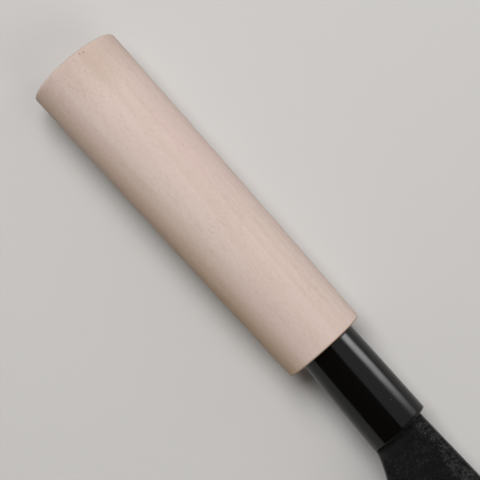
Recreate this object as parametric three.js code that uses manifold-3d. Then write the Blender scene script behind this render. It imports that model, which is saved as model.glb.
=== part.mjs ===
// Nakiri kitchen knife with an oval wooden handle, lying on its left face.
// Millimetres. X runs from the butt to the tip, Y from the edge to the spine, Z up out of the right face.
// The pieces are drawn with X = 0 at the front of the ferrule and the handle axis at Y = Z = 0.
import * as THREE from "three";
import { mergeVertices } from "three/addons/utils/BufferGeometryUtils.js";
import Module from "manifold-3d";

// Ferrule, a little wider at the blade than at the wood
const ferruleLength = 29.2;
const ferruleTop = 8.9; // its spine side above the handle axis, straight all along
const ferruleRearHeight = 16.6;
const ferruleFrontHeight = 17.7;
const ferruleRearThickness = 13.8;
const ferruleFrontThickness = 14.8;
const ferruleWall = 1.7; // at the rear
const ferruleFrontWall = 2.5;
const ferruleFrontRound = 0.4;

// Wooden grip
const gripLength = 100.8;
const gripButtHeight = 26.7;
const gripButtThickness = 21.9;
const gripStep = 3.1; // the wood stands this far above the ferrule
const gripSideStep = 2.9; // and this far out at the two sides
const gripSwell = 0.24; // height and thickness over an even taper, halfway along
const gripButtRound = 1.8;
const gripFrontRound = 1;

// Tang and its bed
const woodBehindTang = 44;
const tenonCheek = 1.6; // wood left above and below the mortise, inside the ferrule
const resinThickness = 0.8;
const tangEndHeight = 5.2;
const tangEndThickness = 2.4;
const fitGap = 0.15; // gap all round a tenon, a slot or a bed of resin

// Blade, seen from the side
const bladeLength = 165; // heel to tip
const bladeHeight = 50; // edge to the crest of the spine
const neckGap = 0.4; // shoulders to ferrule
const neckTopInset = 1.9; // shoulder below the top of the ferrule
const neckBottomInset = 0.3; // shoulder above the bottom of the ferrule
const neckAngle = THREE.MathUtils.degToRad(14); // the lower edge leaves the ferrule at this slope
const heelRadius = 30;
const spineCrest = 8.9; // highest point of the spine above the handle axis
const spineRiseLength = 95; // ferrule to the crest
const spineBend = 0.62; // share of that rise where the spine bends most
const spineFall = 1.2; // crest down to the tip
const tipTopRadius = 13;
const tipEdgeRadius = 2.5;
const edgeFlatLength = 100; // straight stretch of the edge, from the heel
const edgeTipLift = 1.5; // the edge rises this far from there to the tip

// Blade, in section
const spineThickness = 4.2; // at the neck
const spineTipThickness = 2.3;
const bevelThickness = 3.1; // where the ground bevel starts
const bevelHeight = 20;
const coreThickness = 1.1;
const edgeThickness = 0.24; // behind the last honed strip
const honedHeight = 0.6;
const weldSeam = 0.02;

// Facets
const ovalSides = 72;
const cornerSteps = 6;
const curveSteps = 12;

// Places that follow from the sizes
const buttX = -(ferruleLength + gripLength);
const gripFrontX = -(ferruleLength + fitGap);
const gripFrontHeight = 2 * (ferruleTop + gripStep);
const gripFrontThickness = ferruleRearThickness + 2 * gripSideStep;
const cavityHeight = ferruleRearHeight - 2 * ferruleWall;
const cavityThickness = ferruleRearThickness - 2 * ferruleWall;
const tenonY = ferruleTop - ferruleRearHeight / 2; // middle of the tenon and of the tang in it
const tenonFrontX = -(ferruleFrontWall + fitGap);
const tangRootHeight = cavityHeight - 2 * (tenonCheek + resinThickness + 2 * fitGap);
const tangEndX = buttX + woodBehindTang;
const neckTop = ferruleTop - neckTopInset;
const neckBottom = ferruleTop - ferruleFrontHeight + neckBottomInset;
const heelX = neckGap + heelRadius * (1 - Math.sin(neckAngle));
const heelArcY = neckBottom - heelRadius * Math.cos(neckAngle);
const tipX = heelX + bladeLength;
const edgeY = spineCrest - bladeHeight;
const bevelTopY = edgeY + bevelHeight;
const past = spineThickness; // a cutter runs on this far past what it cuts

const wasm = await Module();
wasm.setup();

// A closed geometry as a solid for cutting and joining.
function solid(geometry) {
  const bare = geometry.clone();
  bare.deleteAttribute("normal");
  bare.deleteAttribute("uv");
  const merged = mergeVertices(bare, 1e-4);
  const vertProperties = new Float32Array(merged.attributes.position.array);
  const triVerts = new Uint32Array(merged.index.array);
  return new wasm.Manifold(new wasm.Mesh({ numProp: 3, vertProperties, triVerts }));
}

// A solid as a flat-shaded geometry.
function geometryOf(body) {
  const { vertProperties, triVerts } = body.getMesh();
  const shared = new THREE.BufferGeometry();
  shared.setAttribute("position", new THREE.BufferAttribute(vertProperties, 3));
  shared.setIndex(new THREE.BufferAttribute(triVerts, 1));
  const faceted = shared.toNonIndexed();
  faceted.computeVertexNormals();
  return faceted;
}

// Moves every vertex of a geometry by a rule.
function reshape(geometry, rule) {
  const position = geometry.attributes.position;
  const point = new THREE.Vector3();
  for (let i = 0; i < position.count; i++) {
    point.fromBufferAttribute(position, i);
    rule(point);
    position.setXYZ(i, point.x, point.y, point.z);
  }
  return geometry;
}

const lerp = THREE.MathUtils.lerp;
const inverseLerp = THREE.MathUtils.inverseLerp;

// Adds a quarter round of the given radius to a lathe profile, between two angles about its centre.
function roundCorner(profile, centreX, centreRadius, radius, fromAngle, toAngle) {
  for (let i = 0; i <= cornerSteps; i++) {
    const angle = lerp(fromAngle, toAngle, i / cornerSteps);
    const along = centreX + radius * Math.sin(angle);
    profile.push(new THREE.Vector2(centreRadius + radius * Math.cos(angle), along));
  }
}

// A lathe about the X axis from a profile of (radius, x), running from low x to high x.
// Its round section of the given diameter is then drawn to the oval that it has at each place.
function ovalTurned(profile, diameter, ovalAt) {
  const round = new THREE.LatheGeometry(profile, ovalSides).rotateZ(-Math.PI / 2);
  return solid(
    reshape(round, (p) => {
      const { height, thickness, middle } = ovalAt(p.x);
      p.y = middle + (p.y * height) / diameter;
      p.z *= thickness / diameter;
    }),
  );
}

// A bar of even oval section, in line with the tenon.
function ovalBar(fromX, toX, height, thickness) {
  const bar = new THREE.CylinderGeometry(height / 2, height / 2, toX - fromX, ovalSides);
  bar.rotateZ(-Math.PI / 2).scale(1, 1, thickness / height);
  return solid(bar.translate((fromX + toX) / 2, tenonY, 0));
}

// The tang's side outline and thickness, grown by an even layer, up to a place near the ferrule.
function tangBar(layer, frontX) {
  const endX = tangEndX - layer;
  const heightAt = (x) => lerp(tangRootHeight, tangEndHeight, inverseLerp(0, tangEndX, x));
  const frontHalf = heightAt(frontX) / 2 + layer;
  const endHalf = tangEndHeight / 2 + layer;
  const outline = new THREE.Shape();
  outline.moveTo(endX, -endHalf);
  outline.lineTo(frontX, -frontHalf);
  outline.lineTo(frontX, frontHalf);
  outline.lineTo(endX, endHalf);
  const bar = new THREE.ExtrudeGeometry(outline, { depth: 1, bevelEnabled: false });
  return solid(
    reshape(bar, (p) => {
      const half = (spineThickness / 2) * thinning(p.x) + layer;
      p.set(p.x, p.y + tenonY, p.z > 0 ? half : -half);
    }),
  );
}

// Share of the neck's thickness that is left at a place along the blade or the tang.
function thinning(x) {
  const towardsTip = lerp(1, spineTipThickness / spineThickness, x / tipX);
  const towardsEnd = lerp(1, tangEndThickness / spineThickness, x / tangEndX);
  return x > 0 ? towardsTip : towardsEnd;
}

// How far the edge has risen at a place along the blade.
function edgeLift(x) {
  const along = Math.max(0, inverseLerp(heelX + edgeFlatLength, tipX, x));
  return edgeTipLift * along ** 2;
}

// A blade section, drawn at the neck as (Y, Z), carried along the knife as it thins and its edge lifts.
function forged(section) {
  const edgeFlatEnd = heelX + edgeFlatLength;
  const stations = [tangEndX - past, 0, heelX, edgeFlatEnd];
  for (let i = 1; i <= curveSteps; i++) {
    stations.push(lerp(edgeFlatEnd, tipX + past, i / curveSteps));
  }
  const steps = stations.length - 1;
  const shape = new THREE.Shape(section.map(([y, z]) => new THREE.Vector2(y, z)));
  const bar = new THREE.ExtrudeGeometry(shape, { depth: steps, steps, bevelEnabled: false });
  return solid(
    reshape(bar, (p) => {
      const x = stations[Math.round(p.z)];
      p.set(x, p.x + edgeLift(x), p.y * thinning(x));
    }),
  );
}

// Blade and tang from the side. Below the edge it runs on, because the section makes the edge.
function bladeOutline() {
  const tipTop = spineCrest - spineFall;
  const tipEdgeY = edgeY + edgeTipLift;
  const below = Math.min(edgeY, heelArcY) - past;
  const outline = new THREE.Shape();
  outline.moveTo(neckGap, neckTop);
  outline.quadraticCurveTo(spineRiseLength * spineBend, spineCrest, spineRiseLength, spineCrest);
  outline.lineTo(tipX - tipTopRadius, tipTop);
  outline.absarc(tipX - tipTopRadius, tipTop - tipTopRadius, tipTopRadius, Math.PI / 2, 0, true);
  outline.absarc(tipX - tipEdgeRadius, tipEdgeY + tipEdgeRadius, tipEdgeRadius, 0, -Math.PI / 2, true);
  outline.lineTo(tipX - tipEdgeRadius, below);
  outline.lineTo(heelX, below);
  outline.absarc(heelX - heelRadius, heelArcY, heelRadius, 0, Math.PI / 2 - neckAngle, false);
  outline.lineTo(neckGap, tenonY - tangRootHeight / 2);
  outline.lineTo(0, tenonY - tangRootHeight / 2);
  outline.lineTo(tangEndX, tenonY - tangEndHeight / 2);
  outline.lineTo(tangEndX, tenonY + tangEndHeight / 2);
  outline.lineTo(0, tenonY + tangRootHeight / 2);
  outline.lineTo(neckGap, tenonY + tangRootHeight / 2);
  const depth = 2 * spineThickness;
  const prism = new THREE.ExtrudeGeometry(outline, { depth, bevelEnabled: false, curveSegments: curveSteps });
  return solid(prism.translate(0, 0, -depth / 2));
}

// Half thickness of the flat forged face, which runs on past the spine.
const flatSlope = (spineThickness - bevelThickness) / 2 / (spineCrest - bevelTopY);
const sectionTopY = spineCrest + past;
const sectionTopZ = spineThickness / 2 + flatSlope * past;

// Height on the ground bevel where the section has a given half thickness.
const honedTopY = edgeY + honedHeight;
const bevelY = (z) => lerp(honedTopY, bevelTopY, inverseLerp(edgeThickness / 2, bevelThickness / 2, z));

function bladeCore() {
  const face = coreThickness / 2;
  const right = [
    [honedTopY, edgeThickness / 2],
    [bevelY(face), face],
    [sectionTopY, face],
  ];
  const left = right.map(([y, z]) => [y, -z]).reverse();
  return forged([[edgeY, 0], ...right, ...left]).intersect(bladeOutline());
}

// The soft outer layer on the right face.
function cladding() {
  const inner = coreThickness / 2 + weldSeam;
  const section = [
    [bevelY(inner), inner],
    [bevelTopY, bevelThickness / 2],
    [sectionTopY, sectionTopZ],
    [sectionTopY, inner],
  ];
  return forged(section).intersect(bladeOutline());
}

function ferrule() {
  const radius = ferruleFrontHeight / 2;
  const profile = [new THREE.Vector2(0, -ferruleLength), new THREE.Vector2(radius, -ferruleLength)];
  const inset = radius - ferruleFrontRound;
  roundCorner(profile, -ferruleFrontRound, inset, ferruleFrontRound, 0, Math.PI / 2);
  profile.push(new THREE.Vector2(0, 0));
  const outside = ovalTurned(profile, ferruleFrontHeight, (x) => {
    const along = inverseLerp(-ferruleLength, 0, x);
    const height = lerp(ferruleRearHeight, ferruleFrontHeight, along);
    const thickness = lerp(ferruleRearThickness, ferruleFrontThickness, along);
    return { height, thickness, middle: ferruleTop - height / 2 };
  });
  const cavity = ovalBar(-ferruleLength - past, -ferruleFrontWall, cavityHeight, cavityThickness);
  const slotLength = 2 * ferruleFrontWall;
  const slotHeight = tangRootHeight + 2 * fitGap;
  const slot = new THREE.BoxGeometry(slotLength, slotHeight, spineThickness + 2 * fitGap);
  return outside.subtract(cavity).subtract(solid(slot.translate(0, tenonY, 0)));
}

function handleGrip() {
  const radius = gripButtHeight / 2;
  const profile = [new THREE.Vector2(0, buttX)];
  const buttRoundX = buttX + gripButtRound;
  const frontRoundX = gripFrontX - gripFrontRound;
  roundCorner(profile, buttRoundX, radius - gripButtRound, gripButtRound, -Math.PI / 2, 0);
  for (let i = 1; i < curveSteps; i++) {
    profile.push(new THREE.Vector2(radius, lerp(buttRoundX, frontRoundX, i / curveSteps)));
  }
  roundCorner(profile, frontRoundX, radius - gripFrontRound, gripFrontRound, 0, Math.PI / 2);
  profile.push(new THREE.Vector2(0, gripFrontX));
  const outside = ovalTurned(profile, gripButtHeight, (x) => {
    const along = Math.max(0, inverseLerp(buttRoundX, gripFrontX, x));
    const swell = 4 * gripSwell * along * (1 - along);
    const height = lerp(gripButtHeight, gripFrontHeight, along) + swell;
    const thickness = lerp(gripButtThickness, gripFrontThickness, along) + swell;
    return { height, thickness, middle: 0 };
  });
  const tenonHeight = cavityHeight - 2 * fitGap;
  const tenonThickness = cavityThickness - 2 * fitGap;
  const tenon = ovalBar(gripFrontX - gripStep, tenonFrontX, tenonHeight, tenonThickness);
  const mortise = tangBar(resinThickness + fitGap, 0);
  return outside.add(tenon).subtract(mortise);
}

function tangResin() {
  return tangBar(resinThickness, tenonFrontX).subtract(tangBar(fitGap, 0));
}

const magnolia = new THREE.MeshStandardMaterial({ color: 0xd3beb3, roughness: 0.6, metalness: 0 });
const blackPlastic = new THREE.MeshStandardMaterial({ color: 0x0a0a0b, roughness: 0.12, metalness: 0 });
const forgeBlack = new THREE.MeshStandardMaterial({ color: 0x2b2b2c, roughness: 0.7, metalness: 0.5 });
const groundSteel = new THREE.MeshStandardMaterial({ color: 0xb4b7ba, roughness: 0.3, metalness: 1 });
const amberResin = new THREE.MeshStandardMaterial({ color: 0xb99a66, roughness: 0.4, metalness: 0 });

const knife = new THREE.Group();

function addPiece(name, body, material) {
  const piece = new THREE.Mesh(geometryOf(body), material);
  piece.name = name;
  knife.add(piece);
  return piece;
}

addPiece("handle_grip", handleGrip(), magnolia);
addPiece("ferrule", ferrule(), blackPlastic);
addPiece("cladding_right", cladding(), forgeBlack);
addPiece("cladding_left", cladding(), forgeBlack).scale.z = -1; // the right layer's mirror image
addPiece("blade_core", bladeCore(), groundSteel);
addPiece("tang_resin", tangResin(), amberResin);

// The origin is the middle of the underside: halfway along and across, level with the lowest wood.
const middleX = (buttX + tipX) / 2;
const middleY = (edgeY + Math.max(gripButtHeight / 2, spineCrest)) / 2;
knife.position.set(-middleX, -middleY, gripButtThickness / 2);

export default knife;
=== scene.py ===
import math

import bmesh
import bpy
import numpy as np
from mathutils import Matrix, Vector, noise
from mathutils.geometry import delaunay_2d_cdt


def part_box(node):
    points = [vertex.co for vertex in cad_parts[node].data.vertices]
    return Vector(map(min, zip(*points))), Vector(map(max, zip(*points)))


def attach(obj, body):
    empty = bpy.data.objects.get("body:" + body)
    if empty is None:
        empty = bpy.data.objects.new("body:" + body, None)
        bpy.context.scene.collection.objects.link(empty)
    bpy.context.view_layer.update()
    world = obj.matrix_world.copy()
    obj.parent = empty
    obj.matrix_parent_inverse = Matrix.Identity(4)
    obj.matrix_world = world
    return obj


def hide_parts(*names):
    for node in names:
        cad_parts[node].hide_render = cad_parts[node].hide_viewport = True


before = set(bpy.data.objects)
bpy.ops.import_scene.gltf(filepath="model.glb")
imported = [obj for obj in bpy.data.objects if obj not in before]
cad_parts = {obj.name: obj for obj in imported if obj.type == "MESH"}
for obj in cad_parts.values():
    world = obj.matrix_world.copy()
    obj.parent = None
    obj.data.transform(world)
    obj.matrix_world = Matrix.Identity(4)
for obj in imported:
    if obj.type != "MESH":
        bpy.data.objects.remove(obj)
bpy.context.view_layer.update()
print("frame loaded:", ", ".join(sorted(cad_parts)))

mm = 0.001
gripLow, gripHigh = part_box("handle_grip")
ferruleLow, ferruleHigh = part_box("ferrule")
coreLow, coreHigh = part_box("blade_core")
resinLow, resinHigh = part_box("tang_resin")
axisY = (gripLow.y + gripHigh.y) / 2  # the handle's own axis
axisZ = (gripLow.z + gripHigh.z) / 2
tangY = (resinLow.y + resinHigh.y) / 2  # middle of the tang and of the tenon round it


# Nodes written as sums

class Wire:
    # one output socket; sums on it add Math nodes
    def __init__(self, net, socket):
        self.net = net
        self.socket = socket

    def other(self, name):
        return Wire(self.net, self.socket.node.outputs[name])

    def __add__(self, value):
        return self.net.math("ADD", self, value)

    def __radd__(self, value):
        return self.net.math("ADD", value, self)

    def __sub__(self, value):
        return self.net.math("SUBTRACT", self, value)

    def __rsub__(self, value):
        return self.net.math("SUBTRACT", value, self)

    def __mul__(self, value):
        return self.net.math("MULTIPLY", self, value)

    def __rmul__(self, value):
        return self.net.math("MULTIPLY", value, self)

    def __truediv__(self, value):
        return self.net.math("DIVIDE", self, value)

    def __pow__(self, value):
        return self.net.math("POWER", self, value)


class Net:
    # one node tree, filled node by node
    def __init__(self, tree):
        self.tree = tree
        tree.nodes.clear()

    def node(self, kind, settings, sockets, out=0):
        made = self.tree.nodes.new(kind)
        for name, value in settings.items():
            setattr(made, name, value)
        for name, value in sockets.items():
            self.feed(made.inputs[name], value)
        return Wire(self, made.outputs[out]) if len(made.outputs) else made

    def feed(self, socket, value):
        if isinstance(value, Wire):
            self.tree.links.new(value.socket, socket)
        else:
            socket.default_value = value

    def math(self, operation, *values):
        return self.node("ShaderNodeMath", {"operation": operation}, dict(enumerate(values)))

    def vector(self, operation, first, second):
        return self.node("ShaderNodeVectorMath", {"operation": operation}, {0: first, 1: second})

    def mark(self, name):
        # a distance in millimetres that the piece's own mesh carries
        return self.node("ShaderNodeAttribute", {"attribute_name": name}, {}, out="Fac")

    def axes(self, vector, out="X"):
        return self.node("ShaderNodeSeparateXYZ", {}, {0: vector}, out=out)

    def step(self, value, low, high):
        # smooth 0 to 1 as the value goes from low to high
        sockets = {"Value": value, "From Min": low, "From Max": high}
        return self.node("ShaderNodeMapRange", {"interpolation_type": "SMOOTHSTEP"}, sockets)

    def share(self, value, low, high):
        # even 0 to 1, held at both ends
        return self.node("ShaderNodeMapRange", {}, {"Value": value, "From Min": low, "From Max": high})

    def blend(self, factor, first, second, kind="MIX"):
        settings = {"data_type": "RGBA", "blend_type": kind}
        return self.node("ShaderNodeMix", settings, {0: factor, 6: first, 7: second}, out=2)

    def noise(self, place, scale, detail=4.0, roughness=0.55, out=0):
        # scale is in features to the millimetre, per axis or for all
        if isinstance(scale, tuple):
            place = self.vector("MULTIPLY", place, scale)
            scale = 1.0
        sockets = {"Vector": place, "Scale": scale, "Detail": detail, "Roughness": roughness}
        return self.node("ShaderNodeTexNoise", {}, sockets, out=out)


def colour(red, green, blue):
    return (red, green, blue, 1.0)


def newMaterial(name, centre):
    # a Principled surface, and its place in millimetres from a point on the knife
    material = bpy.data.materials.new(name)
    material.use_nodes = True
    net = Net(material.node_tree)
    surface = material.node_tree.nodes.new("ShaderNodeBsdfPrincipled")
    output = material.node_tree.nodes.new("ShaderNodeOutputMaterial")
    material.node_tree.links.new(surface.outputs[0], output.inputs[0])
    coords = net.node("ShaderNodeTexCoord", {}, {}, out="Object")
    shift = tuple(-c / mm for c in centre)
    sockets = {"Vector": coords, "Location": shift, "Scale": (1 / mm,) * 3}
    place = net.node("ShaderNodeMapping", {}, sockets)
    return material, net, surface, place


def bump(net, surface, height, strength, distance):
    sockets = {"Height": height, "Strength": strength, "Distance": distance}
    net.feed(surface.inputs["Normal"], net.node("ShaderNodeBump", {}, sockets, out="Normal"))


# Finishes

magnolia = {
    "early": colour(0.690, 0.568, 0.512),
    "late": colour(0.600, 0.475, 0.415),
    "pink": colour(0.670, 0.532, 0.497),
    "pore": colour(0.38, 0.27, 0.20),
    "stain": colour(0.56, 0.42, 0.36),
    "fleck": colour(0.16, 0.10, 0.07),
    "endGrain": colour(0.82, 0.75, 0.68),  # tint on the cut ends
    "endRing": colour(0.40, 0.28, 0.21),  # late wood on the cut ends
    "paintedShade": colour(0.81, 0.74, 0.58),  # painted shade: darker, browner tint on the edge side, which faces away from the key light
    "jointShade": colour(0.84, 0.76, 0.66),  # painted shade on the rounded corner where the grip meets the ferrule
    "buttDull": colour(0.91, 0.895, 0.875),  # tint on the last stretch before the butt
    "pith": (7.0, -58.0),  # where the tree's middle was, across the handle
    "ringWidth": 1.5,
    "wander": 1.3,
    "stainPlace": (8.0, 4.4, 3.4),  # from the butt, above the axis, half width
    "flecks": ((1.65, 4.35, 0.26), (1.35, 3.35, 0.20)),  # from the butt, above the axis, size
    "roughness": (0.54, 0.16),  # the least, and what the fibres add
    "specular": 0.30,
    "relief": (0.22, 0.06 * mm),  # strength and depth
}


def magnoliaWood():
    values = magnolia
    material, net, surface, place = newMaterial("magnoliaWood", (gripLow.x, axisY, axisZ))
    # rings wander slowly along the grain
    drift = net.noise(place, (0.011, 0.05, 0.05), 2.0, 0.5, out="Color")
    drift = net.vector("SUBTRACT", drift, (0.5, 0.5, 0.5))
    drift = net.vector("MULTIPLY", drift, (2 * values["wander"],) * 3)
    across = net.axes(net.vector("ADD", place, drift), out="Y")
    fromPithY = across - values["pith"][0]
    fromPithZ = across.other("Z") - values["pith"][1]
    radius = net.math("SQRT", fromPithY * fromPithY + fromPithZ * fromPithZ)
    ring = net.math("FRACT", radius / values["ringWidth"])
    late = net.step(ring, 0.15, 0.80) * (1 - net.step(ring, 0.82, 1.0))
    # fibres and pores lie along the grain, and the pores show most by the butt
    spot = net.axes(place)
    fibre = net.noise(place, (0.05, 3.2, 3.2), 5.0, 0.6)
    mottle = net.noise(place, (1.5, 4.0, 4.0), 3.0, 0.6)
    cloud = net.noise(place, (0.02, 0.16, 0.16), 3.0, 0.55)
    poreCloud = net.noise(place, (0.06, 0.35, 0.35), 2.0, 0.5)
    pore = net.noise(place, (0.62, 6.0, 6.0), 2.0, 0.5)
    pore = net.step(pore + 0.30 * (poreCloud - 0.5), 0.58, 0.72)
    tone = net.blend(late * (0.15 + 0.55 * cloud), values["early"], values["late"])
    tone = net.blend(net.step(cloud, 0.40, 0.70), tone, values["pink"])
    tone = net.blend(0.30 * net.step(fibre, 0.38, 0.70), tone, values["late"])
    tone = net.blend(0.75 * net.step(mottle, 0.40, 0.72), tone, values["late"])
    tone = net.blend((0.47 - 0.15 * net.step(spot, 10.0, 40.0)) * pore, tone, values["pore"])
    # a faint stain and a few flecks by the butt
    height = spot.other("Y")
    upper = net.step(spot.other("Z"), 0.0, 4.0)
    fromButt, above, reach = values["stainPlace"]
    off = net.math("ABSOLUTE", height - above + 3 * (cloud - 0.5)) / reach
    stain = (1 - net.step(off, 0.2, 1.0)) * (1 - net.step(spot, fromButt, 2.2 * fromButt)) * upper
    tone = net.blend(0.34 * stain * (0.3 + 1.2 * mottle), tone, values["stain"])
    for fromButt, above, reach in values["flecks"]:
        apartX = (spot - fromButt) * 0.55
        apartY = height - above + 0.5 * (mottle - 0.5)
        apart = net.math("SQRT", apartX * apartX + apartY * apartY)
        fleck = (1 - net.step(apart, 0.4 * reach, reach)) * upper
        tone = net.blend(0.60 * fleck, tone, values["fleck"])
    # the last stretch is duller, except on the edge side
    dull = (1 - net.step(spot + 6 * (cloud - 0.5), 2.0, 17.0)) * net.step(height, -7.5, -1.0)
    tone = net.blend(dull, tone, values["buttDull"], "MULTIPLY")
    # painted shade: the edge side, facing away from the key light, is darkened and browned, most of all
    # by the ferrule
    normal = net.node("ShaderNodeTexCoord", {}, {}, out="Normal")
    facing = net.axes(normal)
    paintedShade = net.step(0 - facing.other("Y"), 0.30, 0.92)
    paintedShade = paintedShade * (0.55 + 0.45 * net.share(spot, 20.0, 75.0))
    tone = net.blend(paintedShade, tone, values["paintedShade"], "MULTIPLY")
    # cut ends drink more, and the rounded corner by the ferrule is darkened with painted shade
    cutEnd = net.step(net.math("ABSOLUTE", facing), 0.80, 0.97)
    tone = net.blend(cutEnd, tone, values["endGrain"], "MULTIPLY")
    tone = net.blend(0.42 * cutEnd * late, tone, values["endRing"])
    # painted shade in the corner where the grip meets the ferrule
    corner = net.step(facing, 0.10, 0.60)
    tone = net.blend(corner, tone, values["jointShade"], "MULTIPLY")
    net.feed(surface.inputs["Base Color"], tone)
    net.feed(surface.inputs["Roughness"], values["roughness"][0] + values["roughness"][1] * fibre)
    surface.inputs["Specular IOR Level"].default_value = values["specular"]
    bump(net, surface, fibre * 0.5 - mottle * 0.5 - pore * 0.8, *values["relief"])
    return material


blackGloss = {
    "base": colour(0.0012, 0.0012, 0.0013),
    "dust": colour(0.16, 0.16, 0.165),
    "roughness": 0.11,
    "specular": 0.42,
    "relief": (1.0, 0.035 * mm),
}


def blackFerrule():
    values = blackGloss
    material, net, surface, place = newMaterial("blackFerrule", (ferruleLow.x, axisY, axisZ))
    smear = net.noise(place, (0.10, 0.35, 0.35), 4.0, 0.6)
    hairline = net.step(net.noise(place, (0.08, 9.0, 9.0), 2.0, 0.5), 0.62, 0.74)
    cell = net.node("ShaderNodeTexVoronoi", {}, {"Vector": place, "Scale": 0.42}, out="Distance")
    draw = net.node("ShaderNodeSeparateColor", {}, {0: cell.other("Color")})
    dust = net.step(draw, 0.88, 0.90) * (1 - net.step(cell, 0.03, 0.075))
    net.feed(surface.inputs["Base Color"], net.blend(dust, values["base"], values["dust"]))
    rough = values["roughness"] + 0.05 * net.step(smear, 0.45, 0.75) + 0.06 * hairline + 0.4 * dust
    net.feed(surface.inputs["Roughness"], rough)
    surface.inputs["Specular IOR Level"].default_value = values["specular"]
    sink = net.noise(place, (0.11, 0.20, 0.20), 1.0, 0.35)  # the moulded wall is a little uneven
    bump(net, surface, sink, *values["relief"])
    return material


forgeScale = {
    "dark": colour(0.0031, 0.0031, 0.0032),
    "soot": colour(0.0045, 0.0044, 0.0044),
    "grey": colour(0.0166, 0.0165, 0.0163),
    "rubbed": colour(0.036, 0.036, 0.036),
    "speck": colour(0.15, 0.15, 0.15),
    "worn": colour(0.15, 0.15, 0.152),
    "ground": colour(0.40, 0.405, 0.41),
    "groundDark": colour(0.27, 0.273, 0.278),
    "grindLean": math.radians(8),
    "specular": 0.13,
    "relief": (0.55, 0.09 * mm),
}


def grindLines(net, place, lean):
    # fine scratches across the bevel, from the ridge to the edge
    turned = net.node("ShaderNodeMapping", {}, {"Vector": place, "Rotation": (0, 0, lean)})
    fine = net.noise(turned, (7.0, 0.12, 0.4), 3.0, 0.6)
    broad = net.noise(turned, (1.3, 0.05, 0.2), 2.0, 0.5)
    return 0.65 * fine + 0.35 * broad


def forgedIron():
    values = forgeScale
    material, net, surface, place = newMaterial("forgedIron", (ferruleHigh.x, axisY, axisZ))
    rim = net.mark("rimDistance")
    ridge = net.mark("belowRidge")
    spine = net.mark("spineDistance")
    fromFerrule = net.axes(place)
    blotch = net.noise(place, 0.30, 5.0, 0.62)
    crust = net.noise(place, 1.3, 8.0, 0.74)
    grain = net.noise(place, 3.6, 5.0, 0.62)
    inFromSpine = spine + 4.5 * (blotch - 0.5)
    nearSpine = net.step(inFromSpine, 0.4, 2.4) * (1 - net.step(inFromSpine, 2.8, 5.8))
    byFerrule = nearSpine * (1 - net.step(fromFerrule + 4.0 * (blotch - 0.5), 1.5, 6.5))
    # the scale is rubbed thin along the spine, in a band that widens from the ferrule and then fades
    widening = 2.6 * net.step(fromFerrule, 8.0, 18.0)
    bandEdge = spine + 2.6 * (blotch - 0.5) + 1.2 * (crust - 0.5) - widening
    rubbed = 1 - net.step(bandEdge, 1.3, 3.0)
    rubbed = rubbed * (1 - 0.8 * net.step(fromFerrule + 20 * (blotch - 0.5), 22.0, 75.0))
    shadowLift = 1 - net.step(fromFerrule + 3.0 * (crust - 0.5), 1.6, 4.8)  # painted light: the scale is greyer close to the ferrule, lifting the shadow the ferrule casts there
    # it flakes off in small patches, more of them near the spine and most by the ferrule
    flaked = net.step(crust * 0.55 + blotch * 0.15 + 0.30 * grain + 0.045 * rubbed, 0.49, 0.61)
    speck = net.step(0.7 * grain + 0.3 * crust + 0.06 * nearSpine + 0.05 * byFerrule, 0.61, 0.70)
    speck = speck * (0.12 + 0.88 * nearSpine)
    scale = net.blend(net.step(blotch, 0.40, 0.66), values["dark"], values["soot"])
    # the greyer scale by the ferrule is painted light over the ferrule's cast shadow
    thin = net.math("MAXIMUM", flaked, shadowLift * (0.5 + 0.7 * net.step(crust, 0.40, 0.60)))
    scale = net.blend(thin, scale, values["grey"])
    scale = net.blend(0.66 * rubbed * net.step(crust, 0.43, 0.60), scale, values["rubbed"])
    scale = net.blend(0.75 * speck, scale, values["speck"])
    # the ground bevel, the polished walls of spine and heel, and the worn corners
    lines = grindLines(net, place, values["grindLean"])
    ground = net.blend(net.step(lines, 0.36, 0.64), values["groundDark"], values["ground"])
    onBevel = net.step(ridge + 0.9 * (crust - 0.5), -0.12, 0.16)
    onRim = 1 - net.step(rim + 0.60 * (crust - 0.5) + 0.25 * (grain - 0.5), 0.24, 0.46)
    onWall = 1 - net.step(rim, 0.01, 0.04)
    polished = net.math("MAXIMUM", onBevel, 0.85 * onWall)
    tone = net.blend(0.60 * onRim, scale, values["worn"])
    tone = net.blend(polished, tone, ground)
    bare = net.math("MAXIMUM", polished, 0.5 * onRim)
    net.feed(surface.inputs["Base Color"], tone)
    net.feed(surface.inputs["Metallic"], bare)
    scaleRough = 0.66 + 0.20 * grain - 0.10 * flaked
    groundRough = 0.30 + 0.18 * lines
    net.feed(surface.inputs["Roughness"], scaleRough + bare * (groundRough - scaleRough))
    surface.inputs["Specular IOR Level"].default_value = values["specular"]
    height = (1 - bare) * (0.7 * crust + 0.3 * grain) + bare * 0.12 * lines
    bump(net, surface, height, *values["relief"])
    return material


hardSteel = {
    "bright": colour(0.60, 0.605, 0.61),
    "dim": colour(0.47, 0.475, 0.48),
    "honed": colour(0.72, 0.72, 0.72),
    "grindLean": math.radians(5),
    "relief": (0.08, 0.02 * mm),
}


def groundSteel():
    values = hardSteel
    material, net, surface, place = newMaterial("groundSteel", (ferruleHigh.x, axisY, axisZ))
    lines = grindLines(net, place, values["grindLean"])
    honed = 1 - net.step(net.mark("aboveEdge"), 0.50, 0.66)
    tone = net.blend(net.step(lines, 0.36, 0.64), values["dim"], values["bright"])
    tone = net.blend(honed, tone, values["honed"])
    net.feed(surface.inputs["Base Color"], tone)
    net.feed(surface.inputs["Roughness"], 0.20 + 0.14 * lines - 0.10 * honed)
    surface.inputs["Metallic"].default_value = 1.0
    bump(net, surface, lines, *values["relief"])
    return material


resinCast = {
    "clear": colour(0.50, 0.33, 0.13),
    "cloudy": colour(0.60, 0.47, 0.28),
    "relief": (0.3, 0.1 * mm),
}


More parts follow.
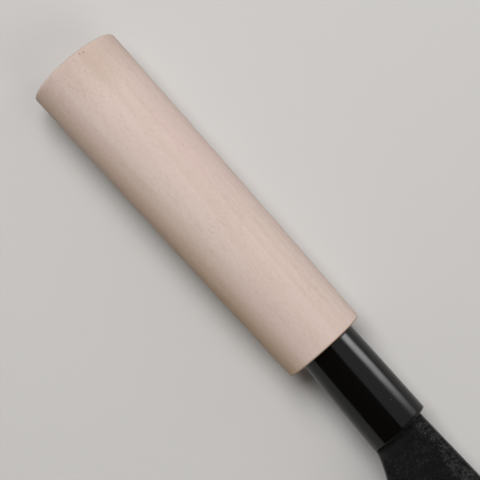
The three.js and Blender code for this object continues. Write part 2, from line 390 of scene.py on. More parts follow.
def beddingResin():
    values = resinCast
    material, net, surface, place = newMaterial("beddingResin", (resinLow.x, tangY, axisZ))
    swirl = net.noise(place, 0.35, 4.0, 0.6)
    bubble = net.node("ShaderNodeTexVoronoi", {}, {"Vector": place, "Scale": 0.9}, out="Distance")
    tone = net.blend(net.step(swirl, 0.40, 0.65), values["clear"], values["cloudy"])
    net.feed(surface.inputs["Base Color"], tone)
    net.feed(surface.inputs["Roughness"], 0.35 + 0.2 * swirl)
    bump(net, surface, net.step(bubble, 0.05, 0.25), *values["relief"])
    return material


wood = magnoliaWood()
gloss = blackFerrule()
iron = forgedIron()
steel = groundSteel()
resin = beddingResin()
print("finishes made:", wood.name, gloss.name, iron.name, steel.name, resin.name)


# Turned oval pieces: a grid of rings and sides bent round the handle axis

turningRings = {"cap": 4, "round": 9, "side": 48, "sides": 144}
turningProfile = {
    "rearCap": "cap", "rearRound": "round", "side": "side", "frontRound": "round", "frontCap": "cap",
}
turningInputs = (
    "Rear X", "Front X", "Rear Height", "Front Height", "Rear Thickness", "Front Thickness",
    "Rear Middle", "Front Middle", "Axis Z", "Swell", "Rear Round", "Front Round",
    "Rear Crown", "Rear Slope",
)


def ovalTurning():
    tree = bpy.data.node_groups.new("ovalTurning", "GeometryNodeTree")
    for name in turningInputs:
        tree.interface.new_socket(name=name, in_out="INPUT", socket_type="NodeSocketFloat")
    tree.interface.new_socket(name="Finish", in_out="INPUT", socket_type="NodeSocketMaterial")
    tree.interface.new_socket(name="Geometry", in_out="OUTPUT", socket_type="NodeSocketGeometry")
    net = Net(tree)
    entry = net.node("NodeGroupInput", {}, {})
    size = {name: entry.other(name) for name in turningInputs}
    rings = turningRings
    count = sum(rings[kind] for kind in turningProfile.values())
    sockets = {"Size X": 1.0, "Size Y": 1.0, "Vertices X": count + 1, "Vertices Y": rings["sides"] + 1}
    grid = net.node("GeometryNodeMeshGrid", {}, sockets)
    spot = net.axes(net.node("GeometryNodeInputPosition", {}, {}))
    along = (spot + 0.5) * count
    turn = (spot.other("Y") + 0.5) * (2 * math.pi)
    # each stretch of the profile goes from 0 to 1 in its turn
    stretch = {}
    start = 0
    for name, kind in turningProfile.items():
        stretch[name] = net.share(along, start, start + rings[kind])
        start += rings[kind]
    rearAngle = stretch["rearRound"] * (math.pi / 2)
    frontAngle = stretch["frontRound"] * (math.pi / 2)
    rearShare = 2 * size["Rear Round"] / size["Rear Height"]
    frontShare = 2 * size["Front Round"] / size["Front Height"]
    reach = (1 - rearShare) * stretch["rearCap"] + rearShare * net.math("SINE", rearAngle)
    reach = reach - frontShare * (1 - net.math("COSINE", frontAngle))
    reach = reach - (1 - frontShare) * stretch["frontCap"]
    straight = size["Front X"] - size["Rear X"] - size["Rear Round"] - size["Front Round"]
    x = size["Rear X"] + size["Rear Round"] * (1 - net.math("COSINE", rearAngle))
    x = x + straight * stretch["side"] + size["Front Round"] * net.math("SINE", frontAngle)
    # the oval at that place
    swell = 4 * size["Swell"] * stretch["side"] * (1 - stretch["side"])

    def between(name):
        return size["Rear " + name] + stretch["side"] * (size["Front " + name] - size["Rear " + name])

    fromAxis = reach * (between("Height") + swell) / 2 * net.math("COSINE", turn)
    z = size["Axis Z"] + reach * (between("Thickness") + swell) / 2 * net.math("SINE", turn)
    y = between("Middle") + fromAxis
    # the butt is crowned across its height and cut a little off square
    tall = 2 * fromAxis / size["Rear Height"]
    fade = (1 - stretch["side"]) ** 12  # all but gone within a fifth of the length
    x = x + fade * (size["Rear Crown"] * tall * tall + size["Rear Slope"] * fromAxis)
    bent = net.node("ShaderNodeCombineXYZ", {}, {0: x, 1: y, 2: z})
    body = net.node("GeometryNodeSetPosition", {}, {"Geometry": grid, "Position": bent})
    body = net.node("GeometryNodeMergeByDistance", {}, {"Geometry": body, "Distance": 0.0005 * mm})
    body = net.node("GeometryNodeSetShadeSmooth", {}, {"Geometry": body, "Shade Smooth": True})
    body = net.node("GeometryNodeRealizeInstances", {}, {"Geometry": body})
    body = net.node("GeometryNodeSetMaterial", {}, {"Geometry": body, "Material": entry.other("Finish")})
    net.node("NodeGroupOutput", {}, {"Geometry": body})
    return tree


turning = ovalTurning()


def addPiece(name, mesh):
    piece = bpy.data.objects.new(name, mesh)
    bpy.context.scene.collection.objects.link(piece)
    return piece


def applied(piece):
    # the piece with its modifiers made plain mesh
    graph = bpy.context.evaluated_depsgraph_get()
    mesh = bpy.data.meshes.new_from_object(piece.evaluated_get(graph))
    piece.modifiers.clear()
    piece.data = mesh
    mesh.name = piece.name
    return piece


def turnedPiece(name, sizes, finish):
    piece = addPiece(name, bpy.data.meshes.new(name))
    modifier = piece.modifiers.new("turning", "NODES")
    modifier.node_group = turning
    inputs = [item for item in turning.interface.items_tree if item.in_out == "INPUT"]
    sockets = {item.name: item.identifier for item in inputs}
    for key in turningInputs:
        modifier[sockets[key]] = sizes.get(key, 0.0)
    modifier[sockets["Finish"]] = finish
    return applied(piece)


def evenOval(rearX, frontX, height, thickness, rounds):
    # sizes of an oval bar with one section, in line with the tang
    return {
        "Rear X": rearX, "Front X": frontX, "Axis Z": axisZ,
        "Rear Height": height, "Front Height": height,
        "Rear Thickness": thickness, "Front Thickness": thickness,
        "Rear Middle": tangY, "Front Middle": tangY,
        "Rear Round": rounds[0], "Front Round": rounds[1],
    }


def boxPiece(name, low, high):
    mesh = bpy.data.meshes.new(name)
    shape = bmesh.new()
    bmesh.ops.create_cube(shape, size=1.0)
    middle = (Vector(low) + Vector(high)) / 2
    extent = Vector(high) - Vector(low)
    shape.transform(Matrix.Translation(middle) @ Matrix.Diagonal((*extent, 1.0)))
    shape.to_mesh(mesh)
    shape.free()
    return addPiece(name, mesh)


def joinOrCut(piece, tool, operation):
    modifier = piece.modifiers.new(tool.name, "BOOLEAN")
    modifier.operation = operation
    modifier.solver = "EXACT"
    modifier.object = tool
    applied(piece)
    bpy.data.objects.remove(tool)


def faceOutwards(mesh, corner=30):
    shape = bmesh.new()
    shape.from_mesh(mesh)
    bmesh.ops.remove_doubles(shape, verts=shape.verts, dist=0.0002 * mm)
    bmesh.ops.recalc_face_normals(shape, faces=shape.faces)
    if shape.calc_volume(signed=True) < 0:
        bmesh.ops.reverse_faces(shape, faces=shape.faces)
    shape.to_mesh(mesh)
    shape.free()
    mesh.shade_smooth()
    mesh.set_sharp_from_angle(angle=math.radians(corner))


# Wooden grip with its tenon and the mortise for the tang

gripShape = {
    "frontHeight": 24.0 * mm,
    "frontThickness": 19.6 * mm,
    "swell": 0.24 * mm,
    "buttRound": 1.1 * mm,
    "frontRound": 0.6 * mm,
    "buttCrown": 0.66 * mm,
    "buttSlope": 0.027,
    "buttInset": 0.05 * mm,  # keeps the sloping crown inside the grip's length
    "jointGap": 0.05 * mm,
    "tenonHeight": 12.9 * mm,
    "tenonThickness": 10.1 * mm,
    "tenonRounds": (0.2 * mm, 0.3 * mm),
    "tenonRoot": 3 * mm,  # overlap with the grip before the two are joined
    "mortiseOverrun": 5 * mm,  # how far the cutter stands out at the open end
}


def handleGrip():
    values = gripShape
    frontX = ferruleLow.x - values["jointGap"]
    sizes = {
        "Rear X": gripLow.x + values["buttInset"], "Front X": frontX, "Axis Z": axisZ,
        "Rear Height": gripHigh.y - gripLow.y, "Front Height": values["frontHeight"],
        "Rear Thickness": gripHigh.z - gripLow.z, "Front Thickness": values["frontThickness"],
        "Rear Middle": axisY, "Front Middle": axisY, "Swell": values["swell"],
        "Rear Round": values["buttRound"], "Front Round": values["frontRound"],
        "Rear Crown": values["buttCrown"], "Rear Slope": values["buttSlope"],
    }
    grip = turnedPiece("grip", sizes, wood)
    faceOutwards(grip.data)
    tenonSizes = evenOval(
        frontX - values["tenonRoot"], gripHigh.x,
        values["tenonHeight"], values["tenonThickness"], values["tenonRounds"],
    )
    tenon = turnedPiece("tenon", tenonSizes, wood)
    faceOutwards(tenon.data)
    joinOrCut(grip, tenon, "UNION")
    gap = values["jointGap"]
    low = resinLow - Vector((gap, gap, gap))
    high = resinHigh + Vector((values["mortiseOverrun"], gap, gap))
    joinOrCut(grip, boxPiece("mortise", low, high), "DIFFERENCE")
    faceOutwards(grip.data)
    return grip


# Ferrule: a black collar with a closed front and a slot for the tang

ferruleShape = {
    "rearHeight": 16.6 * mm,
    "rearThickness": 13.8 * mm,
    "frontRound": 0.42 * mm,
    "rearRound": 0.25 * mm,
    "cavityHeight": 13.2 * mm,
    "cavityThickness": 10.4 * mm,
    "cavityRounds": (0.2 * mm, 0.2 * mm),
    "cavityOverrun": 4 * mm,  # how far the cutter stands out behind
    "frontWall": 2.5 * mm,
    "slotHeight": 8.1 * mm,
    "slotThickness": 4.5 * mm,
}


def blackCollar():
    values = ferruleShape
    top = ferruleHigh.y
    frontHeight = ferruleHigh.y - ferruleLow.y
    sizes = {
        "Rear X": ferruleLow.x, "Front X": ferruleHigh.x, "Axis Z": axisZ,
        "Rear Height": values["rearHeight"], "Front Height": frontHeight,
        "Rear Thickness": values["rearThickness"], "Front Thickness": ferruleHigh.z - ferruleLow.z,
        "Rear Middle": top - values["rearHeight"] / 2, "Front Middle": top - frontHeight / 2,
        "Rear Round": values["rearRound"], "Front Round": values["frontRound"],
    }
    collar = turnedPiece("ferruleCollar", sizes, gloss)
    faceOutwards(collar.data)
    cavitySizes = evenOval(
        ferruleLow.x - values["cavityOverrun"], ferruleHigh.x - values["frontWall"],
        values["cavityHeight"], values["cavityThickness"], values["cavityRounds"],
    )
    cavity = turnedPiece("cavity", cavitySizes, gloss)
    faceOutwards(cavity.data)
    joinOrCut(collar, cavity, "DIFFERENCE")
    half = Vector((2 * values["frontWall"], values["slotHeight"] / 2, values["slotThickness"] / 2))
    middle = Vector((ferruleHigh.x, tangY, axisZ))
    joinOrCut(collar, boxPiece("slot", middle - half, middle + half), "DIFFERENCE")
    faceOutwards(collar.data)
    return collar


# Blade: a steel core between two soft iron layers, with a forged face above and a ground bevel below

bladeShape = {
    "neckGap": 0.4 * mm,
    "neckTopInset": 1.9 * mm,
    "neckBottomInset": 0.3 * mm,
    "neckAngle": math.radians(14),
    "heelRadius": 30 * mm,
    "spineRiseLength": 95 * mm,
    "spineBend": 0.62,  # share of the rise where the spine bends most
    "spineFall": 1.2 * mm,
    "tipTopRadius": 13 * mm,
    "tipEdgeRadius": 2.5 * mm,
    "edgeFlatLength": 100 * mm,
    "edgeTipLift": 1.5 * mm,
    "spineThickness": 4.2 * mm,
    "spineTipThickness": 2.3 * mm,
    "bevelThickness": 3.1 * mm,
    "bevelHeight": 20 * mm,
    "coreThickness": 1.1 * mm,
    "edgeThickness": 0.24 * mm,
    "honedHeight": 0.6 * mm,
    "weldSeam": 0.02 * mm,
    "tangRootHeight": 7.8 * mm,
    "tangEndHeight": 5.2 * mm,
    "tangEndThickness": 2.4 * mm,
    "rimEase": 0.35 * mm,  # width of the eased corner along the spine and the heel
    "rimDrop": 0.85,  # its depth, as a share of its width
    "forgeWave": 0.05 * mm,  # unevenness of the forged face
    "forgeSink": 0.3,  # share of it by which the face lies deeper
    "forgeLength": 14 * mm,  # size of its waves
    "forgeSeed": 2.0,
    "weldWave": 0.10 * mm,  # unevenness of the seam between iron and steel
    "weldLength": 11 * mm,  # size of its waves
    "weldSeed": 8.0,
    "sideSeed": 5.3,  # sets the two sides apart
    "meshStep": 1.1 * mm,
    "meshClear": 0.45,  # share of a step that loose points keep from the lines
    "pointMerge": 1e-7,  # points closer than this are one
    "lineBehindHeel": 14 * mm,  # how far the ridge and weld lines run on
    "linePastTip": 2 * mm,
    "ridgeSearch": 6 * mm,  # to both sides of the bevel's own height
    "weldSearch": 15 * mm,  # up from the honed edge
    "lineMerge": 0.02 * mm,  # lines of the two sides meet where they come this close
    "lineFit": 0.003 * mm,  # a point this close to a line lies on it
}

neckX = ferruleHigh.x + bladeShape["neckGap"]
neckTop = ferruleHigh.y - bladeShape["neckTopInset"]
neckBottom = ferruleLow.y + bladeShape["neckBottomInset"]
heelX = neckX + bladeShape["heelRadius"] * (1 - math.sin(bladeShape["neckAngle"]))
heelArcY = neckBottom - bladeShape["heelRadius"] * math.cos(bladeShape["neckAngle"])
tipX = coreHigh.x
edgeY = coreLow.y
crestY = coreHigh.y
tangEndX = coreLow.x


def arcPoints(x, y, radius, fromAngle, toAngle, step):
    count = max(3, round(abs(toAngle - fromAngle) * radius / step))
    angles = [fromAngle + (toAngle - fromAngle) * i / count for i in range(count + 1)]
    return [(x + radius * math.cos(a), y + radius * math.sin(a)) for a in angles]


def linePoints(start, end, step):
    count = max(1, round(math.dist(start, end) / step))
    pairs = zip(start, end)
    spans = [(a, b - a) for a, b in pairs]
    return [tuple(a + d * i / count for a, d in spans) for i in range(count + 1)]


def edgeLift(x):
    flatEnd = heelX + bladeShape["edgeFlatLength"]
    return bladeShape["edgeTipLift"] * max(0.0, (x - flatEnd) / (tipX - flatEnd)) ** 2


def thinning(x):
    values = bladeShape
    towardsTip = x > ferruleHigh.x
    end = values["spineTipThickness"] if towardsTip else values["tangEndThickness"]
    endX = tipX if towardsTip else tangEndX
    share = (x - ferruleHigh.x) / (endX - ferruleHigh.x)
    return 1 + share * (end / values["spineThickness"] - 1)


def spineCurve(step):
    values = bladeShape
    start = Vector((neckX, neckTop))
    bend = Vector((ferruleHigh.x + values["spineBend"] * values["spineRiseLength"], crestY))
    crest = Vector((ferruleHigh.x + values["spineRiseLength"], crestY))
    count = round(values["spineRiseLength"] / step)
    shares = [i / count for i in range(count + 1)]
    return [tuple((1 - t) ** 2 * start + 2 * t * (1 - t) * bend + t * t * crest) for t in shares]


def bladeOutlines():
    # the worked rim from the neck round the tip and the edge to the neck, and the tang behind it
    values = bladeShape
    step = values["meshStep"]
    tipTop = crestY - values["spineFall"]
    tipEdge = edgeY + values["edgeTipLift"]
    topR = values["tipTopRadius"]
    lowR = values["tipEdgeRadius"]
    spine = spineCurve(step)
    spine += linePoints(spine[-1], (tipX - topR, tipTop), step)[1:]
    tip = arcPoints(tipX - topR, tipTop - topR, topR, math.pi / 2, 0, step)
    tip += linePoints(tip[-1], (tipX, tipEdge + lowR), step)[1:]
    tip += arcPoints(tipX - lowR, tipEdge + lowR, lowR, 0, -math.pi / 2, 0.5 * step)[1:]
    edge = [(x, edgeY + edgeLift(x)) for x, _ in linePoints(tip[-1], (heelX, edgeY), step)]
    heel = linePoints(edge[-1], (heelX, heelArcY), 0.7 * step)[1:]
    radius = values["heelRadius"]
    heel += arcPoints(heelX - radius, heelArcY, radius, 0, math.pi / 2 - values["neckAngle"], step)[1:]
    rootHalf = values["tangRootHeight"] / 2
    endHalf = values["tangEndHeight"] / 2
    tang = [(neckX, tangY - rootHalf), (ferruleHigh.x, tangY - rootHalf)]
    tang += linePoints(tang[-1], (tangEndX, tangY - endHalf), 4 * step)[1:]
    tang += linePoints((tangEndX, tangY + endHalf), (ferruleHigh.x, tangY + rootHalf), 4 * step)
    tang += [(neckX, tangY + rootHalf)]
    return spine + tip[1:], edge[1:], heel, tang


def wave(x, y, side, size, seed):
    # slow unevenness from -1 to 1, with waves about as long as the given size
    place = Vector((x / size, y / size, seed + bladeShape["sideSeed"] * side))
    return noise.fractal(place, 1.0, 2.0, 3)


def flatHalf(x, y, side):
    values = bladeShape
    bevelTop = edgeY + edgeLift(x) + values["bevelHeight"]
    run = crestY - edgeY - values["bevelHeight"]
    slope = (values["spineThickness"] - values["bevelThickness"]) / 2 / run
    half = (values["bevelThickness"] / 2 + slope * (y - bevelTop)) * thinning(x)
    uneven = wave(x, y, side, values["forgeLength"], values["forgeSeed"])
    return half + values["forgeWave"] * (uneven - values["forgeSink"])


def bevelHalf(x, y):
    values = bladeShape
    honedTop = edgeY + edgeLift(x) + values["honedHeight"]
    run = values["bevelHeight"] - values["honedHeight"]
    slope = (values["bevelThickness"] - values["edgeThickness"]) / 2 / run
    if y < honedTop:
        slope = values["edgeThickness"] / 2 / values["honedHeight"]
    return (values["edgeThickness"] / 2 + slope * (y - honedTop)) * thinning(x)


def coreHalf(x, side):
    values = bladeShape
    uneven = wave(x, 0, side, values["weldLength"], values["weldSeed"])
    return (values["coreThickness"] / 2) * thinning(x) + values["weldWave"] * uneven


def crossing(x, low, high, rule):
    # where the rule turns from negative to positive between two heights
    for _ in range(30):
        middle = (low + high) / 2
        if rule(x, middle) < 0:
            low = middle
        else:
            high = middle
    return (low + high) / 2


def ridgeY(x, side):
    top = edgeY + edgeLift(x) + bladeShape["bevelHeight"]
    reach = bladeShape["ridgeSearch"]
    return crossing(x, top - reach, top + reach, lambda u, v: bevelHalf(u, v) - flatHalf(u, v, side))


def weldY(x, side):
    base = edgeY + edgeLift(x) + bladeShape["honedHeight"]
    top = base + bladeShape["weldSearch"]
    seam = bladeShape["weldSeam"]
    return crossing(x, base, top, lambda u, v: bevelHalf(u, v) - coreHalf(u, side) - seam)


def nearestDistance(points, line):
    # from each point to a chain of points
    start = np.array(line[:-1])
    run = np.array(line[1:]) - start
    squares = (run ** 2).sum(1)
    best = np.full(len(points), np.inf)
    for a, d, square in zip(start, run, squares):
        t = np.clip(((points - a) @ d) / max(square, 1e-18), 0, 1)
        best = np.minimum(best, np.hypot(*(points - a - t[:, None] * d).T))
    return best


def insideOutline(points, outline):
    x, y = points[:, 0], points[:, 1]
    inside = np.zeros(len(points), bool)
    for (ax, ay), (bx, by) in zip(outline, outline[1:] + outline[:1]):
        if ay != by:
            cross = (ay > y) != (by > y)
            inside ^= cross & (x < ax + (y - ay) * (bx - ax) / (by - ay))
    return inside


def insetLine(line, distance):
    # a chain of points moved to its right, away from the rim
    points = np.array(line)
    run = np.gradient(points, axis=0)
    run /= np.linalg.norm(run, axis=1)[:, None]
    return [tuple(p) for p in points + distance * np.stack([run[:, 1], -run[:, 0]], 1)]


def pairedLines(xs, heightAt):
    # a chain of points for each side of the blade
    right = [heightAt(x, 1) for x in xs]
    left = [heightAt(x, -1) for x in xs]
    left = [r if abs(r - l) < bladeShape["lineMerge"] else l for r, l in zip(right, left)]
    return {1: list(zip(xs, right)), -1: list(zip(xs, left))}


def bladeField():
    # triangles over the side of the blade, with edges along the ridges, the weld lines and the eased rim
    values = bladeShape
    step = values["meshStep"]
    rim, edge, heel, tang = bladeOutlines()
    outline = rim + edge + heel + tang
    xs = np.arange(heelX - values["lineBehindHeel"], tipX + values["linePastTip"], step)
    ridges = pairedLines(xs, ridgeY)
    welds = pairedLines(xs, weldY)
    honed = [(x, edgeY + edgeLift(x) + values["honedHeight"]) for x in xs]
    eased = [insetLine(rim, values["rimEase"]), insetLine([edge[-1]] + heel, values["rimEase"])]
    lines = [outline + outline[:1], honed, *ridges.values(), *welds.values(), *eased]
    columns = np.arange(neckX, tipX, step)
    rows = np.arange(edgeY, crestY, step)
    grid = np.array([(x, y) for x in columns for y in rows])
    keep = insideOutline(grid, outline)
    for line in lines:
        keep &= nearestDistance(grid, line) > values["meshClear"] * step
    points = [tuple(p) for p in grid[keep]]
    links = []
    for line in lines:
        first = len(points)
        closed = line[0] == line[-1]
        count = len(line) - closed
        points += line[:count]
        links += [(first + i, first + i + 1) for i in range(count - 1)]
        if closed:
            links.append((first + count - 1, first))
    made = delaunay_2d_cdt([Vector(p) for p in points], links, [], 0, values["pointMerge"], False)
    spots = np.array([tuple(v) for v in made[0]])
    triangles = np.array(made[2])
    triangles = triangles[insideOutline(spots[triangles].mean(1), outline)]
    spine = nearestDistance(spots, rim)
    worked = np.minimum(spine, nearestDistance(spots, [edge[-1]] + heel))
    lift = np.array([edgeLift(x) for x in spots[:, 0]])
    return {
        "spots": spots, "triangles": triangles, "ridges": ridges, "welds": welds, "honed": honed,
        "rim": worked, "spine": spine, "rise": spots[:, 1] - edgeY - lift,
    }


def aboveLine(points, line):
    # how far each point lies above a chain of points
    return points[:, 1] - np.interp(points[:, 0], *np.array(line).T)


def slab(name, field, triangles, upper, lower, marks, finish):
    # closes a field of triangles into a solid between two heights at each point
    spots = field["spots"]
    used = np.unique(triangles)
    over = {spot: i for i, spot in enumerate(used)}
    under = dict(over)
    source = list(used)
    vertices = [(*spots[i], axisZ + upper[i]) for i in used]
    for i in used:
        if upper[i] - lower[i] > 1e-8:  # elsewhere the two heights meet in one point
            under[i] = len(vertices)
            vertices.append((*spots[i], axisZ + lower[i]))
            source.append(i)
    faces = [[over[a], over[b], over[c]] for a, b, c in triangles]
    faces += [[under[c], under[b], under[a]] for a, b, c in triangles]
    sides = {(a, b) for t in triangles for a, b in zip(t, np.roll(t, -1))}
    for a, b in sorted(sides):
        if (b, a) not in sides:
            wall = [under[a], under[b], over[b], over[a]]
            wall = [v for i, v in enumerate(wall) if v not in wall[:i]]
            if len(wall) > 2:
                faces.append(wall)
    mesh = bpy.data.meshes.new(name)
    mesh.from_pydata(vertices, [], faces)
    mesh.materials.append(finish)
    for mark, values in marks.items():
        layer = mesh.attributes.new(mark, "FLOAT", "POINT")
        layer.data.foreach_set("value", (values[source] / mm).astype(np.float32))
    faceOutwards(mesh, 20)
    return addPiece(name, mesh)


def sharpenAlong(mesh, line, side):
    # a crease along a chain of points on one side of the blade
    places = np.zeros(len(mesh.vertices) * 3, np.float32)
    mesh.vertices.foreach_get("co", places)
    places = places.reshape(-1, 3)
    ends = np.zeros(len(mesh.edges) * 2, np.int32)
    mesh.edges.foreach_get("vertices", ends)
    onLine = np.abs(aboveLine(places, line)) < bladeShape["lineFit"]
    onLine &= side * (places[:, 2] - axisZ) > 0
    crease = onLine[ends.reshape(-1, 2)].all(1)
    sharp = mesh.attributes.get("sharp_edge") or mesh.attributes.new("sharp_edge", "BOOLEAN", "EDGE")
    kept = np.zeros(len(mesh.edges), bool)
    sharp.data.foreach_get("value", kept)
    sharp.data.foreach_set("value", kept | crease)


def laminatedBlade():
    values = bladeShape
    field = bladeField()
    spots = field["spots"]
    triangles = field["triangles"]
    middles = spots[triangles].mean(1)
    bevel = np.array([bevelHalf(x, y) for x, y in spots])
    ease = np.clip(1 - field["rim"] / values["rimEase"], 0, 1)
    made = {}
    core = {}
    seam = values["weldSeam"]
    for side in (1, -1):
        flat = np.array([flatHalf(x, y, side) for x, y in spots])
        outer = np.minimum(flat, bevel)
        weld = np.array([coreHalf(x, side) for x, _ in spots])
        inner = weld + seam
        drop = np.minimum(values["rimDrop"] * values["rimEase"], (outer - inner) / 2)
        outer = np.maximum(outer - ease * drop, inner)
        atWeld = np.abs(aboveLine(spots, field["welds"][side])) < values["lineFit"]
        outer[atWeld] = inner[atWeld]
        core[side] = np.where(atWeld, inner, np.minimum(weld, np.maximum(bevel, 0)))
        above = aboveLine(middles, field["welds"][side]) > 0
        name = "claddingRight" if side > 0 else "claddingLeft"
        marks = {"rimDistance": field["rim"], "spineDistance": field["spine"]}
        marks["belowRidge"] = -aboveLine(spots, field["ridges"][side])
        upper, lower = (outer, inner) if side > 0 else (-inner, -outer)
        made[name] = slab(name, field, triangles[above], upper, lower, marks, iron)
        sharpenAlong(made[name].data, field["ridges"][side], side)
    marks = {"aboveEdge": field["rise"]}
    made["bladeCore"] = slab("bladeCore", field, triangles, core[1], -core[-1], marks, steel)
    for side in (1, -1):
        sharpenAlong(made["bladeCore"].data, field["honed"], side)
        sharpenAlong(made["bladeCore"].data, field["welds"][side], side)
    return made


grip = handleGrip()
print("grip made:", len(grip.data.polygons), "faces")
collar = blackCollar()
print("ferrule made:", len(collar.data.polygons), "faces")
blade = laminatedBlade()
for name, piece in blade.items():
    print("blade layer made:", name, len(piece.data.polygons), "faces")

for piece, node, slotName in (
    (grip, "handle_grip", "magnolia_wood"),
    (collar, "ferrule", "black_ferrule"),
    (blade["claddingRight"], "cladding_right", "forge_scale_iron"),
    (blade["claddingLeft"], "cladding_left", "forge_scale_iron"),
    (blade["bladeCore"], "blade_core", "ground_steel"),
):
    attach(piece, "root")
    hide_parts(node)

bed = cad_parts["tang_resin"]
bed.data.materials.clear()
bed.data.materials.append(resin)


# Pale floor that rises into a wall far out

floorShape = {
    "radius": 2.6,
    "bend": 0.4,
    "wall": 0.9,
    "pale": colour(0.615, 0.61, 0.60),
    "far": colour(0.525, 0.514, 0.50),
    "fadeFrom": 0.185,
    "fadeTo": 0.34,
    "roughness": 0.9,
    "rings": 14,
    "bendRings": 10,
    "sides": 96,
}


def paleFloor():
    values = floorShape
    radius = values["radius"]
    bend = values["bend"]
    profile = [(r, 0.0) for r in np.linspace(0, radius, values["rings"])]
    for a in np.linspace(0, math.pi / 2, values["bendRings"])[1:]:
        profile.append((radius + bend * math.sin(a), bend * (1 - math.cos(a))))
    profile.append((radius + bend, bend + values["wall"]))
    mesh = bpy.data.meshes.new("paleFloor")
    shape = bmesh.new()
    chain = [shape.verts.new((r, 0, z)) for r, z in profile]
    links = [shape.edges.new(pair) for pair in zip(chain, chain[1:])]
    bmesh.ops.spin(
        shape, geom=chain + links, cent=(0, 0, 0), axis=(0, 0, 1),
        angle=2 * math.pi, steps=values["sides"], use_merge=True,
    )
    bmesh.ops.remove_doubles(shape, verts=shape.verts, dist=1e-5)
    bmesh.ops.recalc_face_normals(shape, faces=shape.faces)
    shape.faces.ensure_lookup_table()
    if shape.faces[0].normal.z < 0:
        bmesh.ops.reverse_faces(shape, faces=shape.faces)
    shape.to_mesh(mesh)
    shape.free()
    mesh.shade_smooth()
    material, net, surface, place = newMaterial("palePaper", (0, 0, 0))
    surface.inputs["Base Color"].default_value = values["pale"]
    surface.inputs["Roughness"].default_value = values["roughness"]
    surface.inputs["Specular IOR Level"].default_value = 0.0
    # far out the pale paper keeps its tone for the camera and in reflections, whatever light reaches it
    away = net.node("ShaderNodeVectorMath", {"operation": "LENGTH"}, {0: place}, out="Value")
    far = net.step(away * mm, values["fadeFrom"], values["fadeTo"])
    path = net.node("ShaderNodeLightPath", {}, {}, out="Is Camera Ray")
    seen = net.math("MAXIMUM", path, path.other("Is Glossy Ray"))
    seen = net.math("MAXIMUM", seen, path.other("Is Transmission Ray"))
    glow = net.node("ShaderNodeEmission", {}, {"Color": values["far"], "Strength": 1.0})
    plain = Wire(net, surface.outputs[0])
    mixed = net.node("ShaderNodeMixShader", {}, {0: far * seen, 1: plain, 2: glow})
    output = [n for n in material.node_tree.nodes if n.type == "OUTPUT_MATERIAL"][0]
    net.feed(output.inputs["Surface"], mixed)
    mesh.materials.append(material)
    addPiece("paleFloor", mesh)


# Soft lights: a key over the butt, a fill over the blade, and two softboxes that the ferrule mirrors

lamps = {
    # places are from the ferrule's rear, and a lamp that isn't mirrored doesn't show in shiny pieces
    "key": {
        "place": (-0.50, 0.12, 0.82), "size": 0.60, "power": 8.0,
        "tone": (1.0, 0.985, 0.985), "mirrored": True,
    },
    "fill": {
        "place": (0.72, 0.22, 0.70), "size": 0.70, "power": 2.6,
        "tone": (1.0, 0.97, 0.93), "mirrored": False,
    },
}
softBoxes = {
    # soft is the share of the sheet over which each side fades: left, right, low, high
    "strip": {
        "place": (0.069, 0.62, 0.270), "size": (0.098, 0.46), "glow": 9.5,
        "soft": (0.08, 0.796, 0.40, 0.44), "lean": 0.38, "leanAbout": 0.45,
    },
    "panel": {
        "place": (0.06, 0.569, 0.710), "size": (0.40, 1.11), "glow": 0.51,
        "soft": (0.02, 0.36, 0.02, 0.03), "lean": 0.0, "leanAbout": 0.45,
    },
}
roomGlow = {"tone": colour(1.0, 0.85, 0.68), "strength": 0.05}
lightAim = Vector((ferruleLow.x, axisY, axisZ))


def aimed(place, aim):
    # turns an object at the place so that it looks at the aim, with its top up
    back = (Vector(place) - Vector(aim)).normalized()
    right = Vector((0, 0, 1)).cross(back).normalized()
    turn = Matrix((right, back.cross(right), back)).transposed()
    return Matrix.Translation(place) @ turn.to_4x4()


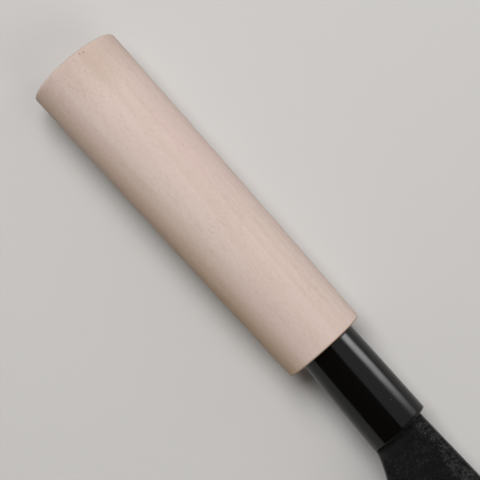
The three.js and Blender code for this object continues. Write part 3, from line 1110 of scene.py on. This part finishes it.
def softBox(name, values):
    # a glowing sheet that fades towards its sides and faces the knife
    mesh = bpy.data.meshes.new(name)
    x, y = Vector(values["size"]) / 2
    place = lightAim + Vector(values["place"])
    turn = aimed(place, lightAim + Vector((values["place"][0], 0, 0)))
    corners = [(-x, -y, 0), (x, -y, 0), (x, y, 0), (-x, y, 0)]
    mesh.from_pydata([turn @ Vector(c) for c in corners], [], [(3, 2, 1, 0)])
    layer = mesh.uv_layers.new(name="sheet")
    layer.data.foreach_set("uv", [1, 1, 0, 1, 0, 0, 1, 0])
    material = bpy.data.materials.new(name)
    material.use_nodes = True
    net = Net(material.node_tree)
    u = net.axes(net.node("ShaderNodeUVMap", {"uv_map": "sheet"}, {}))
    v = u.other("Y") + values["lean"] * (u - values["leanAbout"])
    left, right, low, high = values["soft"]
    fade = net.step(u, 0.0, left) * net.share(1 - u, 0.0, right)
    fade = fade * net.step(v, 0.0, low) * net.step(1 - v, 0.0, high)
    front = 1 - net.node("ShaderNodeNewGeometry", {}, {}, out="Backfacing")
    clear = net.node("ShaderNodeBsdfTransparent", {}, {})
    glow = net.node("ShaderNodeEmission", {}, {"Strength": values["glow"]})
    mixed = net.node("ShaderNodeMixShader", {}, {0: fade * front, 1: clear, 2: glow})
    net.node("ShaderNodeOutputMaterial", {}, {"Surface": mixed})
    mesh.materials.append(material)
    sheet = addPiece(name, mesh)
    sheet.visible_camera = False
    sheet.visible_shadow = False


def softLights():
    for name, values in lamps.items():
        lamp = bpy.data.lights.new(name, "AREA")
        lamp.size = values["size"]
        lamp.energy = values["power"]
        lamp.color = values["tone"]
        light = bpy.data.objects.new(name, lamp)
        bpy.context.scene.collection.objects.link(light)
        light.matrix_world = aimed(lightAim + Vector(values["place"]), lightAim)
        light.visible_camera = False
        light.visible_glossy = values["mirrored"]
    for name, values in softBoxes.items():
        softBox(name, values)
    world = bpy.data.worlds.new("softRoom")
    world.use_nodes = True
    background = world.node_tree.nodes["Background"]
    background.inputs["Color"].default_value = roomGlow["tone"]
    background.inputs["Strength"].default_value = roomGlow["strength"]
    bpy.context.scene.world = world


# Camera straight above the handle, turned so that the blade leaves at the lower right

cameraPlan = {
    "aim": (-65.23 * mm, 2.08 * mm),  # from the ferrule's front and the handle axis
    "distance": 429.3 * mm,
    "lean": math.radians(0.70),  # towards the blade
    "turn": math.radians(48.085),
    "focal": 1621,  # in pixels of the picture
    "picture": 480,
    "sensor": 36,
    "nearest": 10 * mm,
}


def overheadCamera():
    values = cameraPlan
    aim = Vector((ferruleHigh.x + values["aim"][0], axisY + values["aim"][1], axisZ))
    turn = Matrix.Rotation(values["lean"], 3, "Y") @ Matrix.Rotation(values["turn"], 3, "Z")
    lens = bpy.data.cameras.new("overhead")
    lens.sensor_width = values["sensor"]
    lens.lens = values["focal"] / values["picture"] * values["sensor"]
    lens.clip_start = values["nearest"]
    camera = bpy.data.objects.new("overhead", lens)
    bpy.context.scene.collection.objects.link(camera)
    place = aim + turn @ Vector((0, 0, values["distance"]))
    camera.matrix_world = Matrix.Translation(place) @ turn.to_4x4()
    bpy.context.scene.camera = camera


paleFloor()
softLights()
overheadCamera()
bpy.context.scene.view_settings.view_transform = "Standard"
print("stage, lights and camera set")
